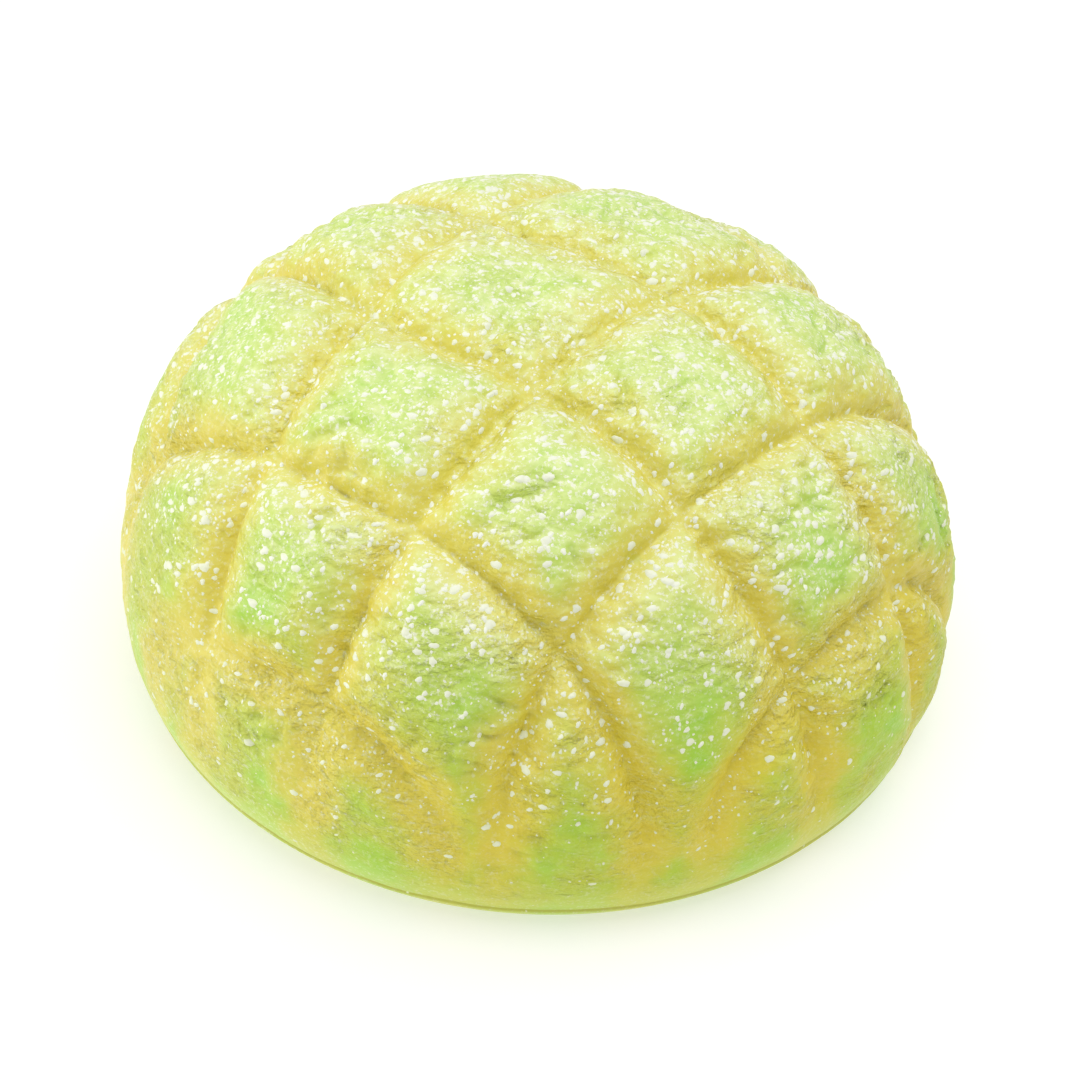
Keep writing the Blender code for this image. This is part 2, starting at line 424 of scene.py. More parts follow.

    # white mist: thickest on the crown and thinner down in a groove. It is thicker on whatever faces
    # up and thinner on what faces down, partly as mist from above and partly as painted top light, and
    # the foot gets a little of it as painted bounce light from the table
    fallen = add_node(
        tree,
        "ShaderNodeMapRange",
        (height, *MIST_THICKENS, 0.02, CROWN_MIST),
        interpolation_type="SMOOTHSTEP",
    )
    shelter = add_node(tree, "ShaderNodeMapRange", (groove, 0.0, SHELTERED, 0.6, 1.0))
    fallen = add_node(tree, "ShaderNodeMath", (fallen, shelter), operation="MULTIPLY")
    slope = add_node(tree, "ShaderNodeMath", (facing_up, 1.6, uplift), operation="MULTIPLY_ADD")
    turned_up = add_node(tree, "ShaderNodeMapRange", (slope, -0.3, 0.3, 0.4, 1.6))
    mist_and_painted_light = add_node(tree, "ShaderNodeMath", (fallen, turned_up), operation="MULTIPLY")
    mist_and_painted_light = add_node(tree, "ShaderNodeMath", (foot, FOOT_BOUNCE_VEIL, mist_and_painted_light), operation="MULTIPLY_ADD")
    # painted highlight: the upper sides of the wrinkles are made paler still, as if lit from above
    wrinkle_highlight = add_node(tree, "ShaderNodeMapRange", (facing_up, 0.0, 0.14, 0.0, WRINKLE_HIGHLIGHT))
    wrinkle_highlight = add_node(tree, "ShaderNodeMath", (wrinkle_highlight, wrinkled), operation="MULTIPLY")
    mist_and_painted_light = add_node(tree, "ShaderNodeMath", (mist_and_painted_light, wrinkle_highlight), operation="ADD")
    # painted sheen: the wall on the left, lit by the low lamp on that side, is made paler with the lemon veil
    across = add_node(tree, "ShaderNodeSeparateXYZ", (place,)).outputs["X"]
    sheen_from_left = add_node(
        tree,
        "ShaderNodeMapRange",
        (across, *LEFT_SHEEN_SPAN, 0.0, LEFT_SHEEN),
        interpolation_type="SMOOTHSTEP",
    )
    on_wall = add_node(
        tree,
        "ShaderNodeMapRange",
        (height, *LEFT_SHEEN_HEIGHTS, 1.0, 0.0),
        interpolation_type="SMOOTHSTEP",
    )
    left_sheen = add_node(tree, "ShaderNodeMath", (sheen_from_left, on_wall), operation="MULTIPLY")
    mist_and_painted_light = add_node(tree, "ShaderNodeMath", (mist_and_painted_light, left_sheen), operation="ADD", use_clamp=True)
    with_mist_and_painted_light = add_node(tree, "ShaderNodeMix", (mist_and_painted_light, coloured, linear(MIST_AND_LIGHT_LEMON)), data_type="RGBA")
    # its thicker grains stay apart as a powder, of which a little lies everywhere
    powder = add_node(
        tree,
        "ShaderNodeTexNoise",
        {"Vector": place, "Scale": 1 / MIST_GRAINS, "Detail": 3.0, "Roughness": 0.7},
    )
    grains = add_node(tree, "ShaderNodeMapRange", (powder, 0.54, 0.62, 0.0, 1.4))
    dusty = add_node(tree, "ShaderNodeMath", (mist_and_painted_light, LOOSE_POWDER), operation="ADD")
    powdered = add_node(tree, "ShaderNodeMath", (grains, dusty), operation="MULTIPLY", use_clamp=True)
    misted = add_node(tree, "ShaderNodeMix", (powdered, with_mist_and_painted_light, linear(POWDER_WHITE)), data_type="RGBA")
    # painted shade: the bottoms of the wrinkles are darkened to a duller, deeper green
    crease = add_node(
        tree,
        "ShaderNodeMapRange",
        (wrinkle, 0.42, 0.24, 0.0, 0.18),
        interpolation_type="SMOOTHSTEP",
    )
    misted = add_node(tree, "ShaderNodeMix", (crease, misted, linear(CREASE_SHADE_GREEN)), data_type="RGBA")
    parted = add_node(tree, "ShaderNodeMix", (seam, misted, linear(SEAM_OLIVE)), data_type="RGBA")
    tree.links.new(output_of(parted), shader.inputs["Base Color"])

    # the closed skin: the finest wrinkles with a grain on them
    grain = add_node(
        tree,
        "ShaderNodeTexNoise",
        {"Vector": place, "Scale": 1 / SKIN_GRAIN, "Detail": 2.0, "Roughness": 0.6},
    )
    relief = add_node(tree, "ShaderNodeMath", (grain, 0.12, wrinkle), operation="MULTIPLY_ADD")
    bump = add_node(
        tree,
        "ShaderNodeBump",
        {"Strength": wrinkled, "Distance": WRINKLE_HEIGHT, "Height": relief},
    )
    tree.links.new(bump.outputs["Normal"], shader.inputs["Normal"])
    shader.inputs["Roughness"].default_value = 0.42
    shader.inputs["IOR"].default_value = 1.46
    shader.inputs["Specular IOR Level"].default_value = 0.4
    return material


def pressing_tree(sizes):
    """Presses the grooves, the crust's relief and the parting line into a smooth dome."""
    tree = new_shape_tree("pressed_foam", sizes)
    size = add_node(tree, "NodeGroupInput").outputs
    place = add_node(tree, "GeometryNodeInputPosition")
    facing = add_node(tree, "GeometryNodeInputNormal")
    height = add_node(tree, "ShaderNodeSeparateXYZ", (place,)).outputs["Z"]
    per = {}  # a pattern's scale is one over its real size
    for label in (
        "Wander size",
        "Lump size",
        "Crease spacing",
        "Crease patches",
        "Pit spacing",
        "Relief patches",
        "Seam waves",
    ):
        per[label] = add_node(tree, "ShaderNodeMath", (1.0, size[label]), operation="DIVIDE")

    # how far each point lies from the nearest groove of either family
    wander = add_node(
        tree,
        "ShaderNodeTexNoise",
        {"Vector": place, "Scale": per["Wander size"], "Detail": 2.0},
    )
    wander_low = add_node(tree, "ShaderNodeMath", (size["Wander"], -1.0), operation="MULTIPLY")
    strayed = add_node(tree, "ShaderNodeMapRange", (wander, 0.25, 0.75, wander_low, size["Wander"]))
    levels, cores, distances = [], [], []
    for family in ("Falling grooves", "Rising grooves"):
        wires = add_node(tree, "GeometryNodeObjectInfo", (size[family],))
        near = add_node(
            tree,
            "GeometryNodeProximity",
            {"Geometry": wires.outputs["Geometry"]},
            target_element="EDGES",
        )
        moved = add_node(tree, "ShaderNodeMath", (near.outputs["Distance"], strayed), operation="ADD")
        away = add_node(tree, "ShaderNodeMath", (moved, 0.0), operation="MAXIMUM")
        slope = add_node(tree, "ShaderNodeMapRange", (away, 0.0, size["Groove reach"], 1.0, 0.0))
        trough = add_node(tree, "ShaderNodeMath", (slope, size["Groove power"]), operation="POWER")
        levels.append(add_node(tree, "ShaderNodeMath", (1.0, trough), operation="SUBTRACT"))
        core = add_node(
            tree,
            "ShaderNodeMapRange",
            (away, 0.0, size["Core reach"], 0.0, 1.0),
            interpolation_type="SMOOTHSTEP",
        )
        cores.append(core)
        distances.append(near.outputs["Distance"])
    level = add_node(tree, "ShaderNodeMath", levels, operation="MULTIPLY")
    pressed = add_node(tree, "ShaderNodeMath", (1.0, level), operation="SUBTRACT")
    no_core = add_node(tree, "ShaderNodeMath", cores, operation="MULTIPLY")
    cut = add_node(tree, "ShaderNodeMath", (1.0, no_core), operation="SUBTRACT")
    cut_depth = add_node(tree, "ShaderNodeMath", (cut, size["Core depth"]), operation="MULTIPLY")
    pressed_depth = add_node(tree, "ShaderNodeMath", (pressed, size["Groove depth"]), operation="MULTIPLY")
    # the grooves fade out down the wall, the narrow core first, and are shallow in a calm spot on the
    # crown
    across = add_node(tree, "ShaderNodeSeparateXYZ", (place,)).outputs["X"]
    tilted = add_node(tree, "ShaderNodeMath", (across, size["Fade tilt"], height), operation="MULTIPLY_ADD")
    faded = []
    for depth, plain_below in ((pressed_depth, "Plain below"), (cut_depth, "No core below")):
        fade = add_node(
            tree,
            "ShaderNodeMapRange",
            (tilted, size[plain_below], size["Full above"], 0.0, 1.0),
            interpolation_type="SMOOTHSTEP",
        )
        faded.append(add_node(tree, "ShaderNodeMath", (depth, fade), operation="MULTIPLY"))
    groove_depth = add_node(tree, "ShaderNodeMath", faded, operation="ADD")
    flat = add_node(tree, "ShaderNodeVectorMath", (place, (1.0, 1.0, 0.0)), operation="MULTIPLY")
    from_spot = add_node(tree, "ShaderNodeVectorMath", (flat, size["Calm spot"]), operation="DISTANCE")
    calm = add_node(
        tree,
        "ShaderNodeMapRange",
        (from_spot.outputs["Value"], size["Calm within"], size["Calm beyond"], size["Calm depth"], 1.0),
        interpolation_type="SMOOTHSTEP",
    )
    groove_depth = add_node(tree, "ShaderNodeMath", (groove_depth, calm), operation="MULTIPLY")
    distance = add_node(tree, "ShaderNodeMath", distances, operation="MINIMUM")

    # the crust's relief is drawn out level, as dough slumps: soft lumps, sharp creases and small pits
    stretch = add_node(tree, "ShaderNodeCombineXYZ", (1.0, 1.0, size["Level stretch"]))
    flattened = add_node(tree, "ShaderNodeVectorMath", (place, stretch), operation="MULTIPLY")
    lumps = add_node(
        tree,
        "ShaderNodeTexNoise",
        {"Vector": flattened, "Scale": per["Lump size"], "Detail": 2.0, "Roughness": 0.5, "Distortion": 0.2},
    )
    lump = add_node(tree, "ShaderNodeMapRange", (lumps, 0.3, 0.7, 0.0, size["Lump depth"]))
    creases = add_node(
        tree,
        "ShaderNodeTexNoise",
        {"Vector": flattened, "Scale": per["Crease spacing"], "Detail": 1.0, "Distortion": 0.3},
    )
    off_crease = add_node(tree, "ShaderNodeMath", (creases, 0.5), operation="SUBTRACT")
    off_crease = add_node(tree, "ShaderNodeMath", (off_crease,), operation="ABSOLUTE")
    crease = add_node(
        tree,
        "ShaderNodeMapRange",
        (off_crease, 0.0, size["Crease width"], size["Crease depth"], 0.0),
        interpolation_type="SMOOTHSTEP",
    )
    pits = add_node(
        tree,
        "ShaderNodeTexVoronoi",
        {"Vector": flattened, "Scale": per["Pit spacing"], "Randomness": 1.0},
    )
    pit = add_node(
        tree,
        "ShaderNodeMapRange",
        (pits.outputs["Distance"], 0.05, 0.3, size["Pit depth"], 0.0),
        interpolation_type="SMOOTHSTEP",
    )
    # the creases come in patches, and both they and the pits fade by a groove and down the wall
    creased = add_node(
        tree,
        "ShaderNodeTexNoise",
        {"Vector": place, "Scale": per["Crease patches"], "Detail": 1.0},
    )
    creased = add_node(tree, "ShaderNodeMapRange", (creased, 0.44, 0.57, 0.0, 1.0))
    crease = add_node(tree, "ShaderNodeMath", (crease, creased), operation="MULTIPLY")
    sharp = add_node(tree, "ShaderNodeMath", (crease, pit), operation="ADD")
    worn = add_node(
        tree,
        "ShaderNodeMapRange",
        (height, size["No creases below"], size["Creased above"], 0.0, 1.0),
        interpolation_type="SMOOTHSTEP",
    )
    sharp = add_node(tree, "ShaderNodeMath", (sharp, worn), operation="MULTIPLY")
    on_tile = add_node(
        tree,
        "ShaderNodeMapRange",
        (distance, size["Groove's edge"], size["Tile's edge"], size["Creases in a groove"], 1.0),
    )
    sharp = add_node(tree, "ShaderNodeMath", (sharp, on_tile), operation="MULTIPLY")
    relief = add_node(tree, "ShaderNodeMath", (lump, sharp), operation="ADD")
    patchy = add_node(
        tree,
        "ShaderNodeTexNoise",
        {"Vector": place, "Scale": per["Relief patches"], "Detail": 1.0},
    )
    patch = add_node(tree, "ShaderNodeMapRange", (patchy, 0.4, 0.62, 0.3, 1.1))
    rough = add_node(
        tree,
        "ShaderNodeMapRange",
        (height, size["Smooth below"], size["Rough above"], 0.0, 1.0),
        interpolation_type="SMOOTHSTEP",
    )
    rough = add_node(tree, "ShaderNodeMath", (rough, patch), operation="MULTIPLY")
    relief_depth = add_node(tree, "ShaderNodeMath", (relief, rough), operation="MULTIPLY")

    # the parting line wanders a little, with a fine crease on it and a lip that stands out below it
    waves = add_node(
        tree,
        "ShaderNodeTexNoise",
        {"Vector": place, "Scale": per["Seam waves"], "Detail": 3.0},
    )
    rise = (size["Seam height"], size["Seam rise"])
    seam_low = add_node(tree, "ShaderNodeMath", rise, operation="SUBTRACT")
    seam_high = add_node(tree, "ShaderNodeMath", rise, operation="ADD")
    seam_height = add_node(tree, "ShaderNodeMapRange", (waves, 0.25, 0.75, seam_low, seam_high))
    over_seam = add_node(tree, "ShaderNodeMath", (height, seam_height), operation="SUBTRACT")
    off_seam = add_node(tree, "ShaderNodeMath", (over_seam,), operation="ABSOLUTE")
    seam = add_node(
        tree,
        "ShaderNodeMapRange",
        (off_seam, 0.0, size["Seam width"], 1.0, 0.0),
        interpolation_type="SMOOTHSTEP",
    )
    seam_depth = add_node(tree, "ShaderNodeMath", (seam, size["Seam depth"]), operation="MULTIPLY")
    half = add_node(tree, "ShaderNodeMath", (size["Seam width"], -0.5), operation="MULTIPLY")
    set_back = add_node(
        tree,
        "ShaderNodeMapRange",
        (over_seam, half, size["Seam width"], 0.0, 1.0),
        interpolation_type="SMOOTHSTEP",
    )
    run_out = add_node(
        tree,
        "ShaderNodeMapRange",
        (over_seam, 0.0, size["Lip run"], size["Lip"], 0.0),
        interpolation_type="SMOOTHSTEP",
    )
    lip_depth = add_node(tree, "ShaderNodeMath", (set_back, run_out), operation="MULTIPLY")

    depth = add_node(tree, "ShaderNodeMath", (groove_depth, relief_depth), operation="ADD")
    depth = add_node(tree, "ShaderNodeMath", (depth, seam_depth), operation="ADD")
    depth = add_node(tree, "ShaderNodeMath", (depth, lip_depth), operation="ADD")
    inward = add_node(tree, "ShaderNodeMath", (depth, -1.0), operation="MULTIPLY")
    pushed = add_node(tree, "ShaderNodeVectorMath", {"Vector": facing, "Scale": inward}, operation="SCALE")
    lean = add_node(
        tree,
        "ShaderNodeMapRange",
        (height, size["Widest at"], size["Height"], 0.0, size["Lean"]),
    )
    leaned = add_node(tree, "ShaderNodeCombineXYZ", {"X": lean})
    moved = add_node(tree, "ShaderNodeVectorMath", (pushed, leaned), operation="ADD")

    dome_up = add_node(tree, "ShaderNodeSeparateXYZ", (facing,)).outputs["Z"]
    kept = size["Geometry"]
    for label, value in (("groove_distance", distance), ("seam", seam), ("dome_up", dome_up)):
        kept = add_node(
            tree,
            "GeometryNodeStoreNamedAttribute",
            {"Geometry": kept, "Name": label, "Value": value},
            data_type="FLOAT",
            domain="POINT",
        )
    shaped = add_node(tree, "GeometryNodeSetPosition", {"Geometry": kept, "Offset": moved})
    # how much more a spot faces up than the plain dome does there
    now_up = add_node(tree, "ShaderNodeSeparateXYZ", (facing,)).outputs["Z"]
    was_up = add_node(tree, "GeometryNodeInputNamedAttribute", {"Name": "dome_up"}, data_type="FLOAT")
    uplift = add_node(tree, "ShaderNodeMath", (now_up, was_up), operation="SUBTRACT")
    lit = add_node(
        tree,
        "GeometryNodeStoreNamedAttribute",
        {"Geometry": shaped, "Name": "uplift", "Value": uplift},
        data_type="FLOAT",
        domain="POINT",
    )
    real = add_node(tree, "GeometryNodeRealizeInstances", {"Geometry": lit})
    dressed = add_node(tree, "GeometryNodeSetMaterial", {"Geometry": real, "Material": size["Material"]})
    add_node(tree, "NodeGroupOutput", (dressed,))
    return tree


bun_skin = bpy.data.objects.new("bun_skin", smooth_dome())
bpy.context.scene.collection.objects.link(bun_skin)
falling_wire = groove_wire("falling_wire", FALLING, FALLING_WEAVE)
rising_wire = groove_wire("rising_wire", RISING, RISING_WEAVE)
foam_sizes = {
    "Falling grooves": falling_wire,
    "Rising grooves": rising_wire,
    "Material": foam_material(),
    "Groove depth": 2.8 * MM,
    "Groove reach": 6.5 * MM,
    "Groove power": 1.8,
    "Core depth": 0.45 * MM,
    "Core reach": 1.7 * MM,
    "Wander": 0.45 * MM,
    "Wander size": 3.0 * MM,
    "Plain below": 5.0 * MM,
    "No core below": 14.0 * MM,
    "Full above": 29.0 * MM,
    "Fade tilt": 0.15,
    "Calm spot": Vector((-2.0, 10.0, 0.0)) * MM,
    "Calm within": 10.0 * MM,
    "Calm beyond": 26.0 * MM,
    "Calm depth": 0.55,
    "Widest at": WIDEST_AT,
    "Height": HEIGHT,
    "Lean": LEAN,
    "Level stretch": 2.2,
    "Lump size": 3.6 * MM,
    "Lump depth": 0.75 * MM,
    "Crease spacing": 6.0 * MM,
    "Crease width": 0.09,  # as a share of the noise's own range
    "Crease depth": 0.85 * MM,
    "Crease patches": 8.0 * MM,
    "Groove's edge": 1.0 * MM,
    "Tile's edge": 4.0 * MM,
    "Creases in a groove": 0.25,
    "Pit spacing": 3.2 * MM,
    "Pit depth": 0.25 * MM,
    "Relief patches": 14.0 * MM,
    "No creases below": 9.0 * MM,
    "Creased above": 24.0 * MM,
    "Smooth below": 3.0 * MM,
    "Rough above": 15.0 * MM,
    "Seam height": 3.0 * MM,
    "Seam rise": 0.6 * MM,
    "Seam waves": 12.0 * MM,
    "Seam width": 0.26 * MM,
    "Seam depth": 0.16 * MM,
    "Lip": 0.25 * MM,
    "Lip run": 5.0 * MM,
}
made_plain(bun_skin, pressing_tree(foam_sizes), foam_sizes)
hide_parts("bun")
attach(bun_skin, "root")


# ---------------------------------------------------------------------------------------------
# The white spatter: thick water-based paint flicked and sprayed over the top, to look like sugar.
# It dried as thousands of flat, uneven drops, most of them on the crown and on what faces up. Each
# is laid on the finished skin and pressed to it, so that it follows the wrinkles under it.

FULL_PAINT = "F6F8EB"
THIN_PAINT = "E3E9B0"
PAINT_PATCHES = 0.5 * MM  # how far apart the thicker spots within a drop are
SHAPES = 8  # in each of the two size classes


def spatter_material():
    # Acrylic paint, dried in thin drops: an almost white, slightly warm film with a faint satin shine.
    material = bpy.data.materials.new("dried_white_acrylic_paint")
    material.use_nodes = True
    tree = material.node_tree
    shader = tree.nodes["Principled BSDF"]
    place = add_node(tree, "ShaderNodeTexCoord").outputs["Object"]
    cover = add_node(tree, "ShaderNodeAttribute", attribute_name="cover").outputs["Fac"]
    uneven = add_node(
        tree,
        "ShaderNodeTexNoise",
        {"Vector": place, "Scale": 1 / PAINT_PATCHES, "Detail": 2.0},
    )
    thicker = add_node(tree, "ShaderNodeMapRange", (uneven, 0.3, 0.7, -0.15, 0.15))
    proud = add_node(tree, "ShaderNodeAttribute", attribute_name="proud").outputs["Fac"]
    domed = add_node(tree, "ShaderNodeMapRange", (proud, -0.35, 0.6, -0.45, 0.1))
    edged = add_node(tree, "ShaderNodeMath", (thicker, domed), operation="ADD")
    filled = add_node(tree, "ShaderNodeMath", (cover, edged), operation="ADD", use_clamp=True)
    # the foam shows through where a drop is thin
    thin, full = linear(THIN_PAINT), linear(FULL_PAINT)
    paint = add_node(tree, "ShaderNodeMix", (filled, thin, full), data_type="RGBA")
    tree.links.new(output_of(paint), shader.inputs["Base Color"])
    shader.inputs["Roughness"].default_value = 0.5
    shader.inputs["IOR"].default_value = 1.49
    return material


def drop_shape(name, sides, middle_ring, chance):
    """One drop of paint about 1 across: a ragged, longish outline, domed in the middle. Its height is
    kept in an attribute, because the drop is laid on the skin first and raised from it afterwards."""
    longer = chance.uniform(1.0, 1.9)
    points, proud = [], []
    # how far out each ring lies, and how high as a share of the drop's height: the edge is sunk
    edge, middle = (0.5, -0.35), (0.33, 0.9)
    rings = (edge, middle) if middle_ring else (edge,)
    lobes = [(n, chance.uniform(0.05, 0.55 / n), chance.uniform(0.0, 6.3)) for n in (2, 3, 5)]
    turns = [2 * math.pi * i / sides for i in range(sides)]
    spread = [1 + sum(size * math.sin(n * turn + at) for n, size, at in lobes) for turn in turns]
    for reach, lift in rings:
        for i, turn in enumerate(turns):
            out = reach * (spread[i] if reach == edge[0] else (spread[i] + 1) / 2)
            points.append((out * math.cos(turn) * longer**0.5, out * math.sin(turn) / longer**0.5, 0.0))
            proud.append(lift)
    points.append((0.0, 0.0, 0.0))
    proud.append(1.0)
    faces = []
    for ring in range(len(rings) - 1):
        for i in range(sides):
            j = (i + 1) % sides
            a, b = ring * sides, (ring + 1) * sides
            faces.append((a + i, a + j, b + j, b + i))
    last = (len(rings) - 1) * sides
    faces += [(last + i, last + (i + 1) % sides, len(points) - 1) for i in range(sides)]
    mesh = bpy.data.meshes.new(name)
    mesh.from_pydata(points, [], faces)
    mesh.attributes.new("proud", "FLOAT", "POINT").data.foreach_set("value", proud)
    mesh.shade_smooth()
    return bpy.data.objects.new(name, mesh)


def spatter_tree(sizes):
    """Scatters drops over the skin, more of them up high, each one turned and sized by chance."""
    tree = new_shape_tree("paint_spatter", sizes)
    size = add_node(tree, "NodeGroupInput").outputs
    skin = add_node(tree, "GeometryNodeObjectInfo", (size["Skin"],)).outputs["Geometry"]
    place = add_node(tree, "GeometryNodeInputPosition")
    height = add_node(tree, "ShaderNodeSeparateXYZ", (place,)).outputs["Z"]
    falling = add_node(
        tree,
        "ShaderNodeMapRange",
        (height, size["Sparse below"], size["Dense above"], size["Least"], 1.0),
        interpolation_type="SMOOTHSTEP",
    )
    # more land on what faces up, and they come in clumps
    uplift = add_node(tree, "GeometryNodeInputNamedAttribute", {"Name": "uplift"}, data_type="FLOAT")
    faced = add_node(tree, "ShaderNodeMapRange", (uplift, -0.35, 0.3, 0.35, 1.5))
    per_clump = add_node(tree, "ShaderNodeMath", (1.0, size["Clump size"]), operation="DIVIDE")
    clumps = add_node(tree, "ShaderNodeTexNoise", {"Vector": place, "Scale": per_clump, "Detail": 2.0})
    clumped = add_node(tree, "ShaderNodeMapRange", (clumps, 0.34, 0.66, 0.25, 1.75))
    # none land on the underside or right at the foot
    facing_up = add_node(tree, "ShaderNodeSeparateXYZ", (add_node(tree, "GeometryNodeInputNormal"),))
    open_above = add_node(
        tree,
        "ShaderNodeMapRange",
        (facing_up.outputs["Z"], size["Bare below slope"], 0.0, 0.0, 1.0),
    )
    faced = add_node(tree, "ShaderNodeMath", (faced, open_above), operation="MULTIPLY")
    above_foot = add_node(tree, "ShaderNodeMath", (height, size["Bare below"]), operation="GREATER_THAN")
    faced = add_node(tree, "ShaderNodeMath", (faced, above_foot), operation="MULTIPLY")
    density = add_node(tree, "ShaderNodeMath", (falling, faced), operation="MULTIPLY")
    density = add_node(tree, "ShaderNodeMath", (density, clumped), operation="MULTIPLY")
    # the scatter asks for the thickest density there may be, and for a share of it at each spot
    share = add_node(tree, "ShaderNodeMath", (density, size["Thickest"]), operation="DIVIDE")
    thickest = add_node(
        tree,
        "ShaderNodeMath",
        (size["Drops per area"], size["Thickest"]),
        operation="MULTIPLY",
    )
    scatter = add_node(
        tree,
        "GeometryNodeDistributePointsOnFaces",
        {
            "Mesh": skin,
            "Distance Min": size["Least gap"],
            "Density Max": thickest,
            "Density Factor": share,
            "Seed": size["Seed"],
        },
        distribute_method="POISSON",
    )
    # sizes fall away as they do in a spray: a least size and a thin tail of larger drops, which comes
    # from minus the natural logarithm of an even chance. Drops are smaller low down
    luck = add_node(
        tree,
        "FunctionNodeRandomValue",
        {"Min": 0.001, "Max": 1.0, "Seed": size["Seed"]},
        data_type="FLOAT",
    )
    tail = add_node(tree, "ShaderNodeMath", (luck, 1 / math.e), operation="LOGARITHM")
    tail = add_node(tree, "ShaderNodeMath", (tail, size["Tail power"]), operation="POWER")
    width = add_node(
        tree,
        "ShaderNodeMath",
        (tail, size["Size spread"], size["Least size"]),
        operation="MULTIPLY_ADD",
    )
    grown = add_node(
        tree,
        "ShaderNodeMapRange",
        (height, size["Sparse below"], size["Dense above"], size["Low share"], 1.0),
    )
    width = add_node(tree, "ShaderNodeMath", (width, grown), operation="MULTIPLY")
    width = add_node(tree, "ShaderNodeMath", (width, size["Largest"]), operation="MINIMUM")
    large = add_node(tree, "ShaderNodeMath", (width, size["Large from"]), operation="GREATER_THAN")
    any_shape = add_node(
        tree,
        "FunctionNodeRandomValue",
        {"Min": 0, "Max": SHAPES - 1, "Seed": size["Seed"]},
        data_type="INT",
    )
    which = add_node(tree, "ShaderNodeMath", (large, float(SHAPES), any_shape), operation="MULTIPLY_ADD")
    turn = add_node(
        tree,
        "FunctionNodeRandomValue",
        {"Min": 0.0, "Max": 2 * math.pi, "Seed": size["Seed"]},
        data_type="FLOAT",
    )
    spin = add_node(tree, "ShaderNodeCombineXYZ", {"Z": turn})
    turned = add_node(
        tree,
        "FunctionNodeRotateRotation",
        (scatter.outputs["Rotation"], spin),
        rotation_space="LOCAL",
    )
    drops = add_node(tree, "GeometryNodeCollectionInfo", (size["Shapes"], True, True))
    laid = add_node(
        tree,
        "GeometryNodeInstanceOnPoints",
        {
            "Points": scatter.outputs["Points"],
            "Instance": drops,
            "Pick Instance": True,
            "Instance Index": which,
            "Rotation": turned,
            "Scale": width,
        },
    )
    kept = add_node(
        tree,
        "GeometryNodeStoreNamedAttribute",
        {"Geometry": laid, "Name": "width", "Value": width},
        data_type="FLOAT",
        domain="INSTANCE",
    )
    # small drops are mostly thin enough for the foam to show through
    thinness = add_node(
        tree,
        "FunctionNodeRandomValue",
        {"Min": size["Least cover"], "Max": size["Most cover"], "Seed": size["Seed"]},
        data_type="FLOAT",
    )
    fuller = add_node(
        tree,
        "ShaderNodeMapRange",
        (width, size["Least size"], size["Large from"], 0.0, size["Cover of size"]),
    )
    cover = add_node(tree, "ShaderNodeMath", (thinness, fuller), operation="ADD")
    thinner_low = add_node(
        tree,
        "ShaderNodeMapRange",
        (height, size["Sparse below"], size["Dense above"], size["Low cover"], size["High cover"]),
    )
    cover = add_node(tree, "ShaderNodeMath", (cover, thinner_low), operation="MULTIPLY", use_clamp=True)
    kept = add_node(
        tree,
        "GeometryNodeStoreNamedAttribute",
        {"Geometry": kept, "Name": "cover", "Value": cover},
        data_type="FLOAT",
        domain="INSTANCE",
    )
    real = add_node(tree, "GeometryNodeRealizeInstances", {"Geometry": kept})
    # each corner goes to the nearest spot of the skin, and then up from it by its share of the height
    here = add_node(tree, "GeometryNodeProximity", {"Geometry": skin}, target_element="FACES")
    facing = add_node(tree, "GeometryNodeInputNormal")
    out = add_node(
        tree,
        "GeometryNodeSampleNearestSurface",
        {"Mesh": skin, "Value": facing},
        data_type="FLOAT_VECTOR",
    )
    proud = add_node(tree, "GeometryNodeInputNamedAttribute", {"Name": "proud"}, data_type="FLOAT")
    own_width = add_node(tree, "GeometryNodeInputNamedAttribute", {"Name": "width"}, data_type="FLOAT")
    thick = add_node(
        tree,
        "ShaderNodeMapRange",
        (own_width, size["Least size"], size["Largest"], size["Thin"], size["Thick"]),
    )
    lift = add_node(tree, "ShaderNodeMath", (proud, thick), operation="MULTIPLY")
    raised = add_node(tree, "ShaderNodeVectorMath", {"Vector": out, "Scale": lift}, operation="SCALE")
    spot = add_node(tree, "ShaderNodeVectorMath", (here.outputs["Position"], raised), operation="ADD")
    pressed = add_node(tree, "GeometryNodeSetPosition", {"Geometry": real, "Position": spot})
    smooth = add_node(tree, "GeometryNodeSetShadeSmooth", {"Geometry": pressed})
    painted = add_node(tree, "GeometryNodeSetMaterial", {"Geometry": smooth, "Material": size["Material"]})
    add_node(tree, "NodeGroupOutput", (painted,))
    return tree


# the shapes' names sort the small ones before the large ones, as their index expects
chance = random.Random(5)
drop_shapes = bpy.data.collections.new("drop_shapes")
for i in range(SHAPES):
    drop_shapes.objects.link(drop_shape(f"drop_a_small_{i}", 6, False, chance))
for i in range(SHAPES):
    drop_shapes.objects.link(drop_shape(f"drop_b_large_{i}", 12, True, chance))
spatter_sizes = {
    "Skin": bun_skin,
    "Shapes": drop_shapes,
    "Material": spatter_material(),
    "Seed": 3,
    "Drops per area": 1.2 / MM**2,
    "Thickest": 2.6,
    "Least gap": 0.42 * MM,
    "Sparse below": 4.0 * MM,
    "Dense above": 42.0 * MM,
    "Least": 0.07,
    "Bare below": 2.0 * MM,
    "Bare below slope": -0.6,
    "Clump size": 2.6 * MM,
    "Least size": 0.2 * MM,
    "Size spread": 0.37 * MM,
    "Low share": 0.7,
    "Tail power": 0.7,
    "Largest": 1.3 * MM,
    "Large from": 0.65 * MM,
    "Thin": 0.03 * MM,
    "Thick": 0.1 * MM,
    "Least cover": 0.2,
    "Most cover": 0.9,
    "Cover of size": 0.4,
    "Low cover": 0.45,
    "High cover": 1.05,
}
white_spatter = bpy.data.objects.new("white_spatter", bpy.data.meshes.new("white_spatter"))
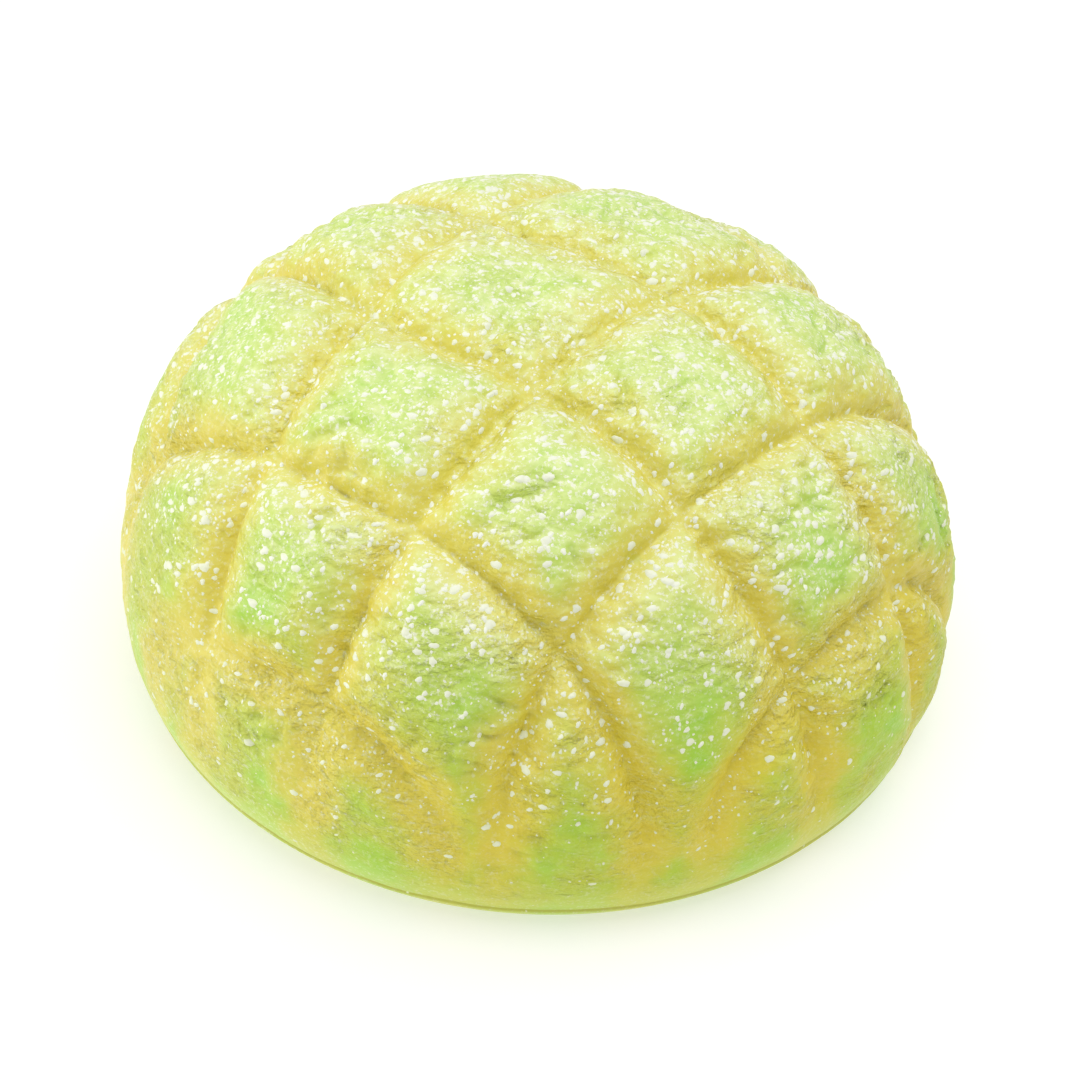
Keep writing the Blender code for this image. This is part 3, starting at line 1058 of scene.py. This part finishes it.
bpy.context.scene.collection.objects.link(white_spatter)
made_plain(white_spatter, spatter_tree(spatter_sizes), spatter_sizes)
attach(white_spatter, "root")
# the wires and the single drops have done their work
for helper in (falling_wire, rising_wire, *drop_shapes.objects):
    bpy.data.objects.remove(helper)
bpy.data.collections.remove(drop_shapes)


# ---------------------------------------------------------------------------------------------
# The setting: a light table of opal acrylic that glows a little, as small goods are shown on, with a
# large soft box overhead, a smaller one low on the left, and even white light all round.

OPAL_GREY = "CDCDCB"
OPAL_PALE = "D3D3D1"
OPAL_CLOUDS = 1 / 12  # metres from one paler patch of the sheet to the next
TABLE_GLOW = 0.45
ROOM_LIGHT = 0.515


def floor_material():
    # A light table's opal acrylic sheet: matt white, with an even glow from below.
    material = bpy.data.materials.new("opal_acrylic_light_table")
    material.use_nodes = True
    tree = material.node_tree
    shader = tree.nodes["Principled BSDF"]
    place = add_node(tree, "ShaderNodeTexCoord").outputs["Object"]
    clouds = add_node(tree, "ShaderNodeTexNoise", {"Vector": place, "Scale": 1 / OPAL_CLOUDS, "Detail": 2.0})
    tone = add_node(tree, "ShaderNodeMix", (clouds, linear(OPAL_GREY), linear(OPAL_PALE)), data_type="RGBA")
    tree.links.new(output_of(tone), shader.inputs["Base Color"])
    shader.inputs["Roughness"].default_value = 0.7
    shader.inputs["IOR"].default_value = 1.49
    shader.inputs["Specular IOR Level"].default_value = 0.2
    shader.inputs["Emission Color"].default_value = (1.0, 1.0, 1.0, 1.0)
    shader.inputs["Emission Strength"].default_value = TABLE_GLOW
    return material


FLOOR_HALF = 3.0  # metres, from its middle to its edge
floor_mesh = bpy.data.meshes.new("floor")
floor_mesh.from_pydata(
    [(x * FLOOR_HALF, y * FLOOR_HALF, bun_low[2]) for x, y in ((-1, -1), (1, -1), (1, 1), (-1, 1))],
    [],
    [(0, 1, 2, 3)],
)
floor_mesh.materials.append(floor_material())
floor = bpy.data.objects.new("floor", floor_mesh)
bpy.context.scene.collection.objects.link(floor)

# each lamp's name, place, width in metres and power in watts
LAMPS = (
    ("overhead_soft_box", (0.08, 0.04, 0.75), 0.8, 3.45),
    ("left_soft_box", (-0.8, -0.06, 0.06), 0.5, 3.3),
)
for name, spot, width, power in LAMPS:
    lamp = bpy.data.objects.new(name, bpy.data.lights.new(name, "AREA"))
    lamp.data.shape = "DISK"
    lamp.data.size = width
    lamp.data.energy = power
    lamp.location = spot
    lamp.rotation_euler = (Vector((0.0, 0.0, HEIGHT / 2)) - lamp.location).to_track_quat("-Z", "Y").to_euler()
    bpy.context.scene.collection.objects.link(lamp)

world = bpy.data.worlds.new("white_room")
world.use_nodes = True
world.node_tree.nodes["Background"].inputs["Color"].default_value = (1.0, 1.0, 1.0, 1.0)
world.node_tree.nodes["Background"].inputs["Strength"].default_value = ROOM_LIGHT
bpy.context.scene.world = world
bpy.context.scene.view_settings.view_transform = "Standard"

# the camera looks down on the front, with its right side a little raised
LOOK_DOWN = math.radians(41.83)
ROLL = math.radians(3.8)
LOOK_AT = Vector((-0.09, 0.0, 14.22)) * MM
CAMERA_DISTANCE = 312.0 * MM
camera = bpy.data.objects.new("camera", bpy.data.cameras.new("camera"))
camera.data.sensor_width = 36.0
camera.data.lens = 83.4
back = Vector((0.0, -math.cos(LOOK_DOWN), math.sin(LOOK_DOWN)))
level = Vector((1.0, 0.0, 0.0))
upright = Vector((0.0, math.sin(LOOK_DOWN), math.cos(LOOK_DOWN)))
right = level * math.cos(ROLL) + upright * math.sin(ROLL)
above = upright * math.cos(ROLL) - level * math.sin(ROLL)
stand = Matrix((right, above, back)).transposed().to_4x4()
stand.translation = LOOK_AT + back * CAMERA_DISTANCE
camera.matrix_world = stand
bpy.context.scene.collection.objects.link(camera)
bpy.context.scene.camera = camera
